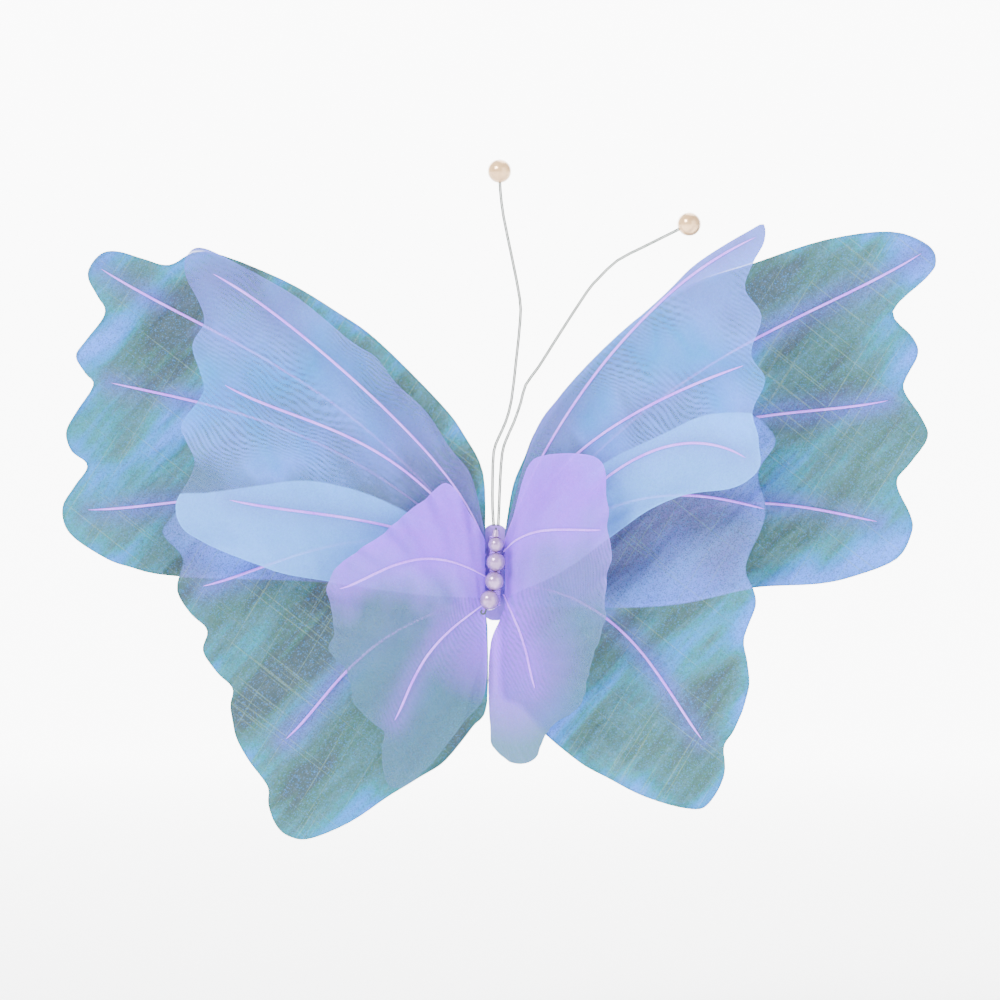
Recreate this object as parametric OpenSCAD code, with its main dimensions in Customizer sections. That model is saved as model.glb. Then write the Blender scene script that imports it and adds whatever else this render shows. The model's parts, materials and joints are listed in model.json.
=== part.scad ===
// Layered organza butterfly wings on a beaded body, with wire feelers and a pin back.
// X runs across the wings, Z up along the body, and the front of the wings faces -Y.
// The origin is the middle of the pin bar's back face, which lies against the costume.

/* [Wings] */
// Width across both back forewings
wing_span = 450; // [360:5:540]
// Thickness of the wing cloth
cloth_t = 0.4; // [0.2:0.05:0.6]
// Thickness of a rib, a wire in its narrow casing
rib_d = 1.9; // [1.2:0.1:2.6]
// How far each wing curls forward from root to tip, in degrees
curl = 10; // [2:1:14]
// Distance between the bending lines of two layers
layer_gap = 2.5; // [2.2:0.1:4]

/* [Body] */
// Diameter of the two middle pearls
pearl_d = 9.8; // [7:0.1:13]
// Thickness of the wire through the pearls
stem_d = 1.0; // [0.6:0.1:1.6]
// Height of the bound wires that the wings grow from
binding_h = 40; // [34:1:50]

/* [Feelers] */
// Diameter of the pearl at each feeler's tip
tip_pearl_d = 12; // [8:0.5:16]
// Thickness of one strand of feeler wire
strand_d = 0.7; // [0.4:0.05:1]

/* [Pin back] */
// Length of the pin bar
bar_l = 46; // [38:1:60]
// Width of the pin bar
bar_w = 4.6; // [4:0.1:6]
// Thickness of the needle
needle_d = 0.8; // [0.6:0.05:1.1]
// Thickness of the felt backing
felt_t = 2; // [1:0.1:3]

/* [Hidden] */
$fn = 48;
LAYERS = ["back_forewing", "hindwing", "mid_forewing", "front_wing"];
SIDES = ["left", "right"];
RIB_COUNTS = [3, 2, 3, 2];

// Colours
teal = [0.40, 0.62, 0.64];
lilac = [0.68, 0.74, 0.88];
pink_lilac = [0.80, 0.70, 0.93];
rib_color = [0.83, 0.79, 0.97];
pearl_color = [0.82, 0.75, 0.81];
cream = [0.93, 0.86, 0.77];
wire_color = [0.55, 0.60, 0.57];
felt_color = [0.66, 0.60, 0.76];
steel = [0.76, 0.77, 0.79];

// Stack from the costume to the front, all along -Y
draw = wing_span / 450;
bar_t = 0.9;
binding_w = 6.8;
felt_w = 15;
felt_back_y = -bar_t;
binding_back_y = felt_back_y - felt_t;
first_line_y = binding_back_y - 2;
line_x = binding_w / 2 + 1;
binding_d = 3 * layer_gap + 4;
binding_z = 2;
pearl_y = binding_back_y - binding_d - pearl_d / 2 - 0.3;
root_gap = 0.6;

// The pearls hang in a touching row that bends towards the left at the tail
head_d = pearl_d * 0.82;
tail_d = pearl_d * 1.04;
PEARLS = [head_d, pearl_d, pearl_d, tail_d];
PEARL_TILTS = [0, 0, 10, 19];
bead_gap = 0.06;
row_top = [0.5, 0, 15.5 + head_d / 2];
bead_wall_gap = 0.04;
neck_h = 3.4;

// Lean of each layer off the wings' flat plane, in degrees, for the left and right sides
LEANS = [[3, 3], [10, 10], [18, 25], [28, 40]];
// Farthest place that each layer reaches from the middle, for the left and right sides
REACHES = [[222, 227], [170, 143], [161, 138], [85, 61]];

// Outlines in mm for a span of 450: distance out from the middle, then height.
// Each runs from the top of the root around the wing to the bottom of the root.
BACK_LEFT = [
    [5, 21], [6, 52], [16, 72], [28, 88], [60, 120], [81, 135], [110, 152], [149, 166],
    [167, 159], [180, 162], [194, 166], [203, 164], [209, 154], [204, 143], [200, 134],
    [210, 120], [215, 112], [210, 103], [206, 97], [215, 83], [220, 73], [217, 63],
    [209, 56], [216, 45], [222, 34], [218, 21], [201, 9], [188, 4], [163, -1],
    [86, -4], [41, -14], [5, -15]
];
BACK_RIGHT = [
    [5, 21], [9, 45], [15, 60], [22, 76], [41, 101], [71, 130], [100, 149], [133, 160],
    [170, 172], [203, 176], [222, 169], [226, 160], [221, 152], [204, 135], [214, 122],
    [217, 113], [211, 101], [210, 94], [219, 80], [222, 70], [213, 57], [206, 47],
    [213, 31], [214, 22], [206, 8], [184, -1], [165, -5], [131, -7], [94, -15],
    [57, -17], [5, -16]
];
HIND_LEFT = [
    [5, 17], [38, 29], [64, 41], [86, 47], [101, 48], [117, 46], [145, 42], [160, 41],
    [162, 33], [169, 22], [161, 12], [159, 6], [162, -8], [155, -20], [147, -28],
    [149, -39], [142, -50], [134, -58], [135, -68], [132, -83], [125, -96], [116, -108],
    [116, -117], [112, -128], [105, -134], [95, -135], [75, -127], [54, -113],
    [35, -102], [25, -95], [12, -79], [5, -66], [5, -17]
];
HIND_RIGHT = [
    [5, 17], [33, 39], [56, 57], [86, 72], [106, 81], [129, 82], [138, 77], [143, 68],
    [136, 57], [134, 50], [138, 36], [137, 26], [130, 10], [128, 1], [132, -8],
    [133, -17], [127, -32], [129, -47], [129, -61], [122, -79], [117, -88],
    [117, -103], [109, -117], [100, -120], [77, -114], [59, -105], [43, -96],
    [26, -82], [13, -69], [5, -60], [5, -17]
];
MID_LEFT = [
    [5, 20], [12, 50], [23, 65], [34, 82], [50, 98], [60, 111], [73, 119], [102, 142],
    [132, 159], [149, 166], [156, 161], [156, 151], [150, 139], [147, 128], [154, 116],
    [150, 103], [148, 93], [158, 77], [156, 69], [151, 58], [156, 46], [161, 36],
    [158, 24], [150, 18], [140, 13], [122, 6], [108, 1], [86, -3], [40, -10], [5, -12]
];
MID_RIGHT = [
    [5, 20], [14, 54], [22, 76], [32, 91], [56, 117], [86, 143], [100, 156], [115, 166],
    [129, 174], [136, 177], [136, 168], [130, 157], [126, 144], [135, 131], [129, 112],
    [137, 99], [130, 82], [133, 66], [134, 57], [130, 50], [119, 44], [97, 41],
    [78, 33], [60, 20], [35, 2], [5, -12]
];
FRONT_LEFT = [
    [5, 18], [16, 36], [25, 47], [34, 40], [56, 22], [76, 7], [82, 0], [84, -8],
    [83, -17], [81, -28], [84, -37], [79, -44], [74, -49], [71, -65], [61, -76],
    [57, -81], [58, -96], [54, -107], [45, -107], [32, -96], [18, -77], [5, -60], [5, -17]
];
FRONT_RIGHT = [
    [5, 18], [12, 40], [18, 57], [25, 61], [37, 62], [47, 61], [53, 57], [55, 48],
    [56, 37], [58, 24], [60, 8], [56, -12], [56, -22], [51, -38], [48, -49], [43, -66],
    [30, -76], [25, -82], [23, -88], [19, -95], [12, -97], [5, -95], [-1, -89], [-3, -80],
    [-3, -40], [2, -24], [5, -17]
];
OUTLINES = [
    [BACK_LEFT, BACK_RIGHT], [HIND_LEFT, HIND_RIGHT],
    [MID_LEFT, MID_RIGHT], [FRONT_LEFT, FRONT_RIGHT]
];

// Routes of the ribs, from the root outwards, in the same measure as the outlines
BACK_LEFT_RIBS = [
    [[5, 12], [38, 48], [70, 78], [148, 128], [175, 140], [202, 157]],
    [[5, 7], [69, 57], [115, 76], [149, 88], [197, 98]],
    [[5, 2], [60, 30], [100, 38], [137, 40], [161, 37], [209, 33]]
];
BACK_RIGHT_RIBS = [
    [[5, 12], [50, 60], [104, 105], [135, 120], [171, 140], [219, 164]],
    [[5, 7], [60, 52], [104, 74], [140, 81], [202, 89]],
    [[5, 2], [48, 14], [93, 32], [108, 36], [150, 34], [176, 33], [196, 26]]
];
HIND_LEFT_RIBS = [
    [[5, 2], [40, 16], [71, 17], [101, 10], [134, -1], [149, -6]],
    [[5, -9], [38, -23], [64, -38], [107, -84]]
];
HIND_RIGHT_RIBS = [
    [[5, 2], [30, 19], [55, 32], [84, 41], [105, 40], [123, 37], [138, 34]],
    [[5, -6], [33, -9], [53, -20], [74, -38], [106, -84]]
];
MID_LEFT_RIBS = [
    [[5, 16], [22, 46], [40, 69], [69, 94], [82, 109], [111, 131], [143, 153]],
    [[5, 10], [40, 48], [69, 67], [110, 84], [138, 96]],
    [[5, 3], [40, 21], [71, 28], [97, 32], [135, 38]]
];
MID_RIGHT_RIBS = [
    [[5, 16], [23, 58], [43, 89], [79, 135], [132, 171]],
    [[5, 10], [28, 48], [53, 69], [84, 89], [126, 106]],
    [[5, 4], [30, 26], [56, 47], [68, 57], [89, 67], [101, 66], [127, 61]]
];
FRONT_LEFT_RIBS = [
    [[5, -1], [28, 8], [48, 6], [79, -7]],
    [[5, -14], [33, -38], [52, -74]]
];
FRONT_RIGHT_RIBS = [
    [[5, 12], [18, 21], [36, 23], [55, 23]],
    [[5, -10], [15, -33], [21, -58]]
];
RIBS = [
    [BACK_LEFT_RIBS, BACK_RIGHT_RIBS], [HIND_LEFT_RIBS, HIND_RIGHT_RIBS],
    [MID_LEFT_RIBS, MID_RIGHT_RIBS], [FRONT_LEFT_RIBS, FRONT_RIGHT_RIBS]
];

// Feelers: routes from the neck to the tip pearl, as across, depth and height
feeler_z = 25;
feeler_x = 1.15;
feeler_root_x = row_top[0];
FEELER_LEFT = [
    [0, 0, 0], [-0.6, 0, 9], [-0.6, -1, 24], [0, -2, 38], [2.4, -3, 45], [6, -4, 53],
    [9, -6, 64], [11.5, -8, 85], [13.5, -9, 105], [13.3, -9, 116], [9.5, -8, 136],
    [5, -7, 158], [3.4, -6, 171], [3, -6, 180]
];
FEELER_RIGHT = [
    [0, 0, 0], [0.4, 0, 9], [1, -1, 24], [2, -2, 37], [4, -3, 44], [8, -5, 53],
    [11.5, -7, 63], [14, -9, 72], [20.5, -11, 81], [30, -14, 96], [45, -18, 119],
    [51, -19, 126], [60.5, -20, 135], [74, -20, 142], [90, -19, 150], [96, -19, 153]
];
FEELERS = [FEELER_LEFT, FEELER_RIGHT];
pearl_hole = 0.62;

// Pin back: the needle turns on the rivet at the top and closes into the catch below
pin_y = 2.1 + needle_d / 2;
hinge_z = bar_l / 2 - 3.5;
catch_z = -bar_l / 2 + 5.5;
rivet_d = 1.0;
eye_d = 2.4;
eye_w = 1.6;
ear_t = 0.8;
ear_gap = 0.1;
running = 0.05;
needle_tip_l = 9.7;
catch_id = needle_d + 0.7;
catch_wall = 0.45;
catch_l = 5;
collar_wall = 0.6;
collar_l = 3;
slot_w = needle_d + 0.4;
web_t = 0.6;

function unit(v) = v / norm(v);

// A smooth open line through the points, with steps stretches between each two
function smooth(p, steps) = let (last = len(p) - 1) concat(
    [for (i = [0:last - 1], s = [0:steps - 1]) let (
        t = s / steps,
        a = p[max(i - 1, 0)],
        b = p[i],
        c = p[i + 1],
        d = p[min(i + 2, last)]
    ) 0.5 * (2 * b + (c - a) * t + (2 * a - 5 * b + 4 * c - d) * t * t
        + (3 * b - a - 3 * c + d) * t * t * t)],
    [p[last]]
);

// Each layer is part of a large upright cylinder that starts at its bending line
function line_y(k) = first_line_y - k * layer_gap;
function lean(k, s) = LEANS[k][s];
function bend_r(k, s) = REACHES[k][s] * draw
    / (sin(lean(k, s) + curl / 2) - sin(lean(k, s) - curl / 2));
function bend_middle(k, s) = [
    line_x - bend_r(k, s) * sin(lean(k, s) - curl / 2),
    line_y(k) - bend_r(k, s) * cos(lean(k, s) - curl / 2)
];
function cloth_y(k, s, x) = let (m = bend_middle(k, s), r = bend_r(k, s))
    m[1] + sqrt(r * r - (x - m[0]) * (x - m[0]));
function cloth_front(k, s, x) = unit(bend_middle(k, s) - [x, cloth_y(k, s, x)]);

// Outlines and routes grow with the span, but keep their place at the root
function grown(p) = [line_x + root_gap + (p[0] - 5) * draw, p[1] * draw];

// A closed tube along the points, with radius radii[i] and flat side away from face
module tube(points, radii, faces_to, sides = 8) {
    last = len(points) - 1;
    rings = [for (i = [0:last]) let (
        along = unit(points[min(i + 1, last)] - points[max(i - 1, 0)]),
        across = unit(cross(along, faces_to[i])),
        out = cross(across, along)
    ) for (j = [0:sides - 1]) points[i] + radii[i]
        * (cos(360 * j / sides) * out + sin(360 * j / sides) * across)];
    walls = [for (i = [0:last - 1], j = [0:sides - 1]) let (n = (j + 1) % sides)
        [i * sides + j, i * sides + n, (i + 1) * sides + n, (i + 1) * sides + j]];
    near_cap = [for (j = [0:sides - 1]) sides - 1 - j];
    far_cap = [for (j = [0:sides - 1]) last * sides + j];
    polyhedron(rings, concat([near_cap, far_cap], walls));
}

module wing_cloth(k, s) {
    r = bend_r(k, s);
    m = bend_middle(k, s);
    tall = 400 * draw;
    deep = 200 * draw;
    mirror([1 - s, 0, 0])
        difference() {
            intersection() {
                translate([0, line_y(k) + 10, 0])
                    rotate([90, 0, 0])
                        linear_extrude(deep)
                            polygon([for (p = smooth(OUTLINES[k][s], 4)) grown(p)]);
                translate([m[0], m[1], -tall / 2])
                    cylinder(h = tall, r = r + cloth_t / 2, $fn = 256);
            }
            translate([m[0], m[1], -tall / 2 - 1])
                cylinder(h = tall + 2, r = r - cloth_t / 2, $fn = 256);
        }
}

module rib(k, s, n) {
    route = [for (p = smooth(RIBS[k][s][n], 4)) grown(p)];
    last = len(route) - 1;
    thin = 0.55;
    end_round = 24;
    radii = [for (i = [0:last]) let (u = 0.985 * i / last)
        rib_d / 2 * (thin + (1 - thin) * sin(90 * min(1, 2 * u))) * sqrt(1 - pow(u, end_round))];
    fronts = [for (p = route) let (f = cloth_front(k, s, p[0])) [f[0], f[1], 0]];
    lift = cloth_t / 2 + 0.06;
    points = [for (i = [0:last]) [route[i][0], cloth_y(k, s, route[i][0]), route[i][1]]
        + fronts[i] * (lift + radii[i])];
    color(rib_color)
        mirror([1 - s, 0, 0])
            tube(points, radii, fronts);
}

// Where the row of pearls bends: the place above each pearl and the one below the last
function knot(i) = i == 0 ? row_top
    : knot(i - 1) + (PEARLS[i - 1] + bead_gap)
        * [-sin(PEARL_TILTS[i - 1]), 0, -cos(PEARL_TILTS[i - 1])];

// Children stand along the pearl's own hole, with their middle at the pearl's
module at_pearl(i) {
    translate(0.5 * (knot(i) + knot(i + 1)) + [0, pearl_y, 0])
        rotate([0, PEARL_TILTS[i], 0])
            children();
}

module body_pearl(i) {
    d = PEARLS[i];
    color(pearl_color)
        at_pearl(i)
            difference() {
                sphere(d = d);
                cylinder(h = d + 2, d = stem_d + 2 * bead_wall_gap, center = true);
            }
}

module stem_wire() {
    loop_r = 1.1;
    turns = 10;
    top = row_top + [0, 0, neck_h + 1.2];
    end = knot(4) + 1.3 * [-sin(PEARL_TILTS[3]), 0, -cos(PEARL_TILTS[3])];
    tail_loop = [for (i = [0:turns]) let (a = 250 * i / turns)
        end + loop_r * [cos(a) - 1, -0.05 * i, -sin(a)]];
    points = [for (p = concat([top], [for (i = [0:4]) knot(i)], tail_loop)) p + [0, pearl_y, 0]];
    color(wire_color)
        tube(points, [for (p = points) stem_d / 2], [for (p = points) [0, -1, 0]], 12);
}

module neck_cone() {
    color(wire_color)
        translate(row_top + [0, pearl_y, 0])
            difference() {
                cylinder(h = neck_h, d1 = 4.6, d2 = 3.2);
                translate([0, 0, -1])
                    cylinder(h = neck_h + 2, d = stem_d + 2 * bead_wall_gap);
            }
}

// A flat shape with round ends, length l and width w, standing along the first axis
module round_ended(l, w) {
    for (side = [-1, 1])
        translate([side * (l - w) / 2, 0])
            circle(d = w);
    square([l - w, w], center = true);
}

module root_binding() {
    rim = 0.8;
    color(wire_color)
        translate([0, binding_back_y - binding_d / 2, binding_z - binding_h / 2]) {
            translate([0, 0, rim])
                linear_extrude(binding_h - 2 * rim)
                    rotate(90)
                        round_ended(binding_d, binding_w);
            for (z = [0, binding_h - rim])
                translate([0, 0, z])
                    linear_extrude(rim)
                        rotate(90)
                            round_ended(binding_d, binding_w - 2 * rim);
        }
}

module felt_backing() {
    color(felt_color)
        translate([0, felt_back_y, binding_z / 2])
            rotate([90, 0, 0])
                linear_extrude(felt_t)
                    rotate(90)
                        round_ended(bar_l + 4, felt_w);
}

// One wire, folded double: up one strand, round inside the tip pearl and down the other
module feeler_wire(s) {
    root_x = feeler_root_x + (s == 0 ? -feeler_x : feeler_x);
    route = smooth(FEELERS[s], 2);
    last = len(route) - 1;
    apart = strand_d / 2 + 0.04;
    aims = [for (i = [0:last]) unit(route[min(i + 1, last)] - route[max(i - 1, 0)])];
    sideways = [for (aim = aims) unit(cross(aim, [0, 1, 0]))];
    fold = [for (a = [30:30:150])
        route[last] + apart * (cos(a) * sideways[last] + sin(a) * aims[last])];
    wire = concat(
        [for (i = [0:last]) route[i] + apart * sideways[i]],
        fold,
        [for (i = [last:-1:0]) route[i] - apart * sideways[i]]
    );
    color(wire_color)
        translate([root_x, pearl_y, feeler_z])
            tube(wire, [for (p = wire) strand_d / 2], [for (p = wire) [0, -1, 0]]);
}

module feeler_pearl(s) {
    root_x = feeler_root_x + (s == 0 ? -feeler_x : feeler_x);
    p = FEELERS[s];
    last = len(p) - 1;
    along = unit(p[last] - p[last - 1]);
    color(cream)
        translate([root_x, pearl_y, feeler_z] + p[last])
            rotate([0, acos(along[2]), atan2(along[1], along[0])])
                difference() {
                    translate([0, 0, tip_pearl_d * 0.1])
                        sphere(d = tip_pearl_d);
                    translate([0, 0, -tip_pearl_d])
                        cylinder(h = tip_pearl_d + 1.2, r = strand_d * 1.5 + 0.1);
                }
}

module pin_bar() {
    outside = 2 * (eye_w / 2 + ear_gap + ear_t);
    catch_d = catch_id + 2 * catch_wall;
    pressed = 0.1; // the ends are pressed this much thinner, which leaves a flat seat between them
    seat_top = hinge_z - eye_d / 2 - 0.6;
    seat_low = catch_z + catch_l / 2 + 0.4;
    color(steel) {
        difference() {
            rotate([90, 0, 0])
                linear_extrude(bar_t)
                    rotate(90)
                        round_ended(bar_l, bar_w);
            for (end = [[seat_top, bar_l], [-bar_l, seat_low]])
                translate([-bar_w, -pressed, end[0]])
                    cube([2 * bar_w, bar_t, end[1] - end[0]]);
        }
        difference() {
            for (side = [-1, 1])
                translate([side * (outside - ear_t) / 2, 0, hinge_z]) {
                    translate([0, (pin_y - bar_t) / 2, 0])
                        cube([ear_t, pin_y + bar_t, eye_d - 0.2], center = true);
                    translate([0, pin_y, 0])
                        rotate([0, 90, 0])
                            cylinder(h = ear_t, d = eye_d, center = true);
                }
            translate([0, pin_y, hinge_z])
                rotate([0, 90, 0])
                    cylinder(h = outside + 2, d = rivet_d + 0.02, center = true);
        }
        difference() {
            union() {
                translate([0, pin_y, catch_z - catch_l / 2])
                    cylinder(h = catch_l, d = catch_d);
                for (side = [-1, 1])
                    translate([0, (pin_y - bar_t) / 2, catch_z + side * (catch_l - web_t) / 2])
                        cube([catch_d, pin_y + bar_t, web_t], center = true);
            }
            translate([0, pin_y, catch_z - catch_l / 2 - 1])
                cylinder(h = catch_l + 2, d = catch_id);
            translate([-slot_w / 2, pin_y, catch_z - catch_l / 2 - 1])
                cube([slot_w, catch_d, catch_l + 2]);
        }
    }
}

module pin_rivet() {
    head_t = 0.4;
    inside = eye_w + 2 * ear_gap + 2 * ear_t + 0.04;
    color(steel)
        translate([0, pin_y, hinge_z])
            rotate([0, 90, 0]) {
                cylinder(h = inside, d = rivet_d, center = true);
                for (side = [-1, 1])
                    translate([0, 0, side * (inside + head_t) / 2])
                        cylinder(h = head_t, d = rivet_d * 1.7, center = true);
            }
}

module needle() {
    shaft_end = catch_z + catch_l / 2 + 1.2; // the long point starts here, so it is slimmer in the catch
    color(steel)
        translate([0, pin_y, 0]) {
            translate([0, 0, hinge_z])
                rotate([0, 90, 0])
                    difference() {
                        cylinder(h = eye_w, d = eye_d, center = true);
                        cylinder(h = eye_w + 2, d = rivet_d + 2 * running, center = true);
                    }
            translate([0, 0, shaft_end])
                cylinder(h = hinge_z - eye_d / 2 + 0.2 - shaft_end, d = needle_d);
            translate([0, 0, shaft_end - needle_tip_l])
                cylinder(h = needle_tip_l, d1 = 0.1, d2 = needle_d);
        }
}

module lock_collar() {
    inner = catch_id + 2 * catch_wall + 2 * running;
    outer = inner + 2 * collar_wall;
    tab_l = 1.4;
    color(steel)
        translate([0, pin_y, catch_z]) {
            difference() {
                cylinder(h = collar_l, d = outer, center = true);
                cylinder(h = collar_l + 2, d = inner, center = true);
                translate([-slot_w / 2, 0, -collar_l])
                    cube([slot_w, outer, 2 * collar_l]);
            }
            translate([outer / 2 - 0.2 + tab_l / 2, 0, 0])
                cube([tab_l, 0.7, collar_l * 0.7], center = true);
        }
}

for (k = [0:3], s = [0:1]) {
    wing = str(LAYERS[k], "_", SIDES[s]);
    color([teal, teal, lilac, pink_lilac][k])
            wing_cloth(k, s);
    for (n = [0:RIB_COUNTS[k] - 1])
        rib(k, s, n);
}
for (i = [0:3])
    body_pearl(i);
stem_wire();
neck_cone();
root_binding();
felt_backing();
for (s = [0:1]) {
    feeler_wire(s);
    feeler_pearl(s);
}
pin_bar();
pin_rivet();
needle();
lock_collar();
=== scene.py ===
"""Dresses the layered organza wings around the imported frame: cloth, ribs, pearls, wires, felt and pin."""

from __future__ import annotations

import json
import logging
import math
from dataclasses import dataclass
from enum import Enum
from typing import Any

import bpy
import numpy as np
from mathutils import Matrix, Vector
from numpy.typing import NDArray

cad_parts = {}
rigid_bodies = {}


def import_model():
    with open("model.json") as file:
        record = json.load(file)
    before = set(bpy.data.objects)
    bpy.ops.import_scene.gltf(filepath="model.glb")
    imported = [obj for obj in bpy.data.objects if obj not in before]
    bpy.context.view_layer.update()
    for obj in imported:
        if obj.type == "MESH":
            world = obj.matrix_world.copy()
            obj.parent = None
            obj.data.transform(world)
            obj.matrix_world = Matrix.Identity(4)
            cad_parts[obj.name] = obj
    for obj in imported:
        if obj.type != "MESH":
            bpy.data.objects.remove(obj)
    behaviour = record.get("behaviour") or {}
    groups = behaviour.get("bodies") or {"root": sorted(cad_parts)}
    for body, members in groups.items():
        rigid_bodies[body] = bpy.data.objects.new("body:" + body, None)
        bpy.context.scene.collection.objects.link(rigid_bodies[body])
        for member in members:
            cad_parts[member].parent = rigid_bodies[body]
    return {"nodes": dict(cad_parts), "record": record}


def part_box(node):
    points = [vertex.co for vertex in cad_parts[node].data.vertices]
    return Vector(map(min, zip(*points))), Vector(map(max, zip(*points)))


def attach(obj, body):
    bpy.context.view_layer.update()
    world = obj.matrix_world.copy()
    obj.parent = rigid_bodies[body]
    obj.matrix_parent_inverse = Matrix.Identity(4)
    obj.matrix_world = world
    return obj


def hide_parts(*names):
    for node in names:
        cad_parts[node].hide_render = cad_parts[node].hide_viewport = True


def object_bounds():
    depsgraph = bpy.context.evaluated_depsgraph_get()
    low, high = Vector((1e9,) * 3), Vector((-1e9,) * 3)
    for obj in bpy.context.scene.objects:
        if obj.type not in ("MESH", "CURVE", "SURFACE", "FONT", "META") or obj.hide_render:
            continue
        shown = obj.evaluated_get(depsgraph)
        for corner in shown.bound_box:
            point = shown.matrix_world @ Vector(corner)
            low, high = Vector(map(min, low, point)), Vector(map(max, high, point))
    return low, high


bpy.data.batch_remove(list(bpy.data.objects))
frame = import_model()
CAD_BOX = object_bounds()

LOG = logging.getLogger("wings")
MM = 0.001
Array = NDArray[np.float64]
Faces = NDArray[np.int64]
Triple = tuple[float, float, float]
Stop = tuple[float, "Tone"]


# ---------------------------------------------------------------- shader maths


class Val:
    """A shader socket that takes part in Python expressions, each of which adds a Math node."""

    def __init__(self, shader: "Shader", socket: Any) -> None:
        """Wraps one output socket of a shader.

        Args:
            shader: The shader that the socket belongs to.
            socket: The output socket.
        """
        self.shader = shader
        self.socket = socket

    def _math(self, operation: str, a: Any, b: Any = 0.0) -> "Val":
        """Adds one Math node and gives its result."""
        return self.shader.node("ShaderNodeMath", {"operation": operation}, {0: a, 1: b})

    def __add__(self, other: Any) -> "Val":
        """Sum."""
        return self._math("ADD", self, other)

    __radd__ = __add__

    def __sub__(self, other: Any) -> "Val":
        """Difference."""
        return self._math("SUBTRACT", self, other)

    def __rsub__(self, other: Any) -> "Val":
        """Difference with the number first."""
        return self._math("SUBTRACT", other, self)

    def __mul__(self, other: Any) -> "Val":
        """Product."""
        return self._math("MULTIPLY", self, other)

    __rmul__ = __mul__

    def __truediv__(self, other: Any) -> "Val":
        """Quotient."""
        return self._math("DIVIDE", self, other)

    def __pow__(self, other: float) -> "Val":
        """Power."""
        return self._math("POWER", self, other)

    def clamp(self) -> "Val":
        """The value held between 0 and 1."""
        return self._math("MINIMUM", self._math("MAXIMUM", self, 0.0), 1.0)

    def step(self, low: float, high: float) -> "Val":
        """A straight rise from 0 at low to 1 at high, held at both ends."""
        return ((self - low) / (high - low)).clamp()


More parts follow.
